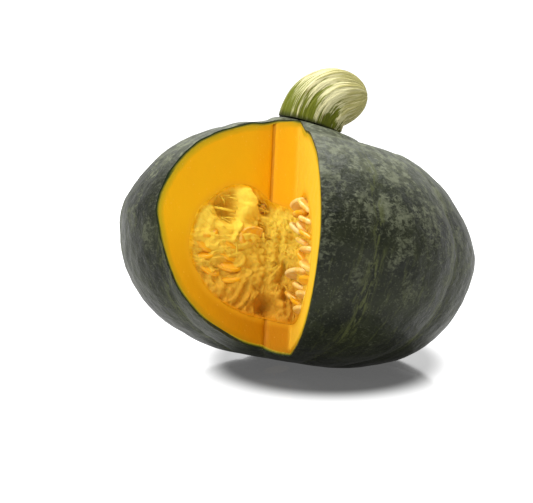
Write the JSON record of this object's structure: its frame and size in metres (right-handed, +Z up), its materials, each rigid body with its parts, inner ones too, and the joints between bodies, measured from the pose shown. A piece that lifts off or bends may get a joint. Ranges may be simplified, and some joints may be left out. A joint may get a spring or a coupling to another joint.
{
  "type": "kabocha squash",
  "caption": "Round flattened dark green squash with a wedge cut out, showing orange flesh, stringy pulp with seeds, and a corky stem.",
  "frame": {"origin": "centre of the flat spot under the squash, on the surface that it rests on", "axes": "+Z up, with the cut opening towards -Y and -X and the stem leaning towards +X"},
  "size_m": [0.1858, 0.1867, 0.1551],
  "materials": {
    "rind": "waxy, dark green, finely mottled and faintly ribbed",
    "flesh": "moist smooth knife cut, orange yellow",
    "pulp": "wet, torn and stringy",
    "seed": "smooth ivory hull",
    "stem": "dry cork with green grooves"
  },
  "bodies": {
    "root": {"rind": "rind", "flesh": "flesh", "pulp": "pulp", "stem": "stem"}
  },
  "joints": []
}
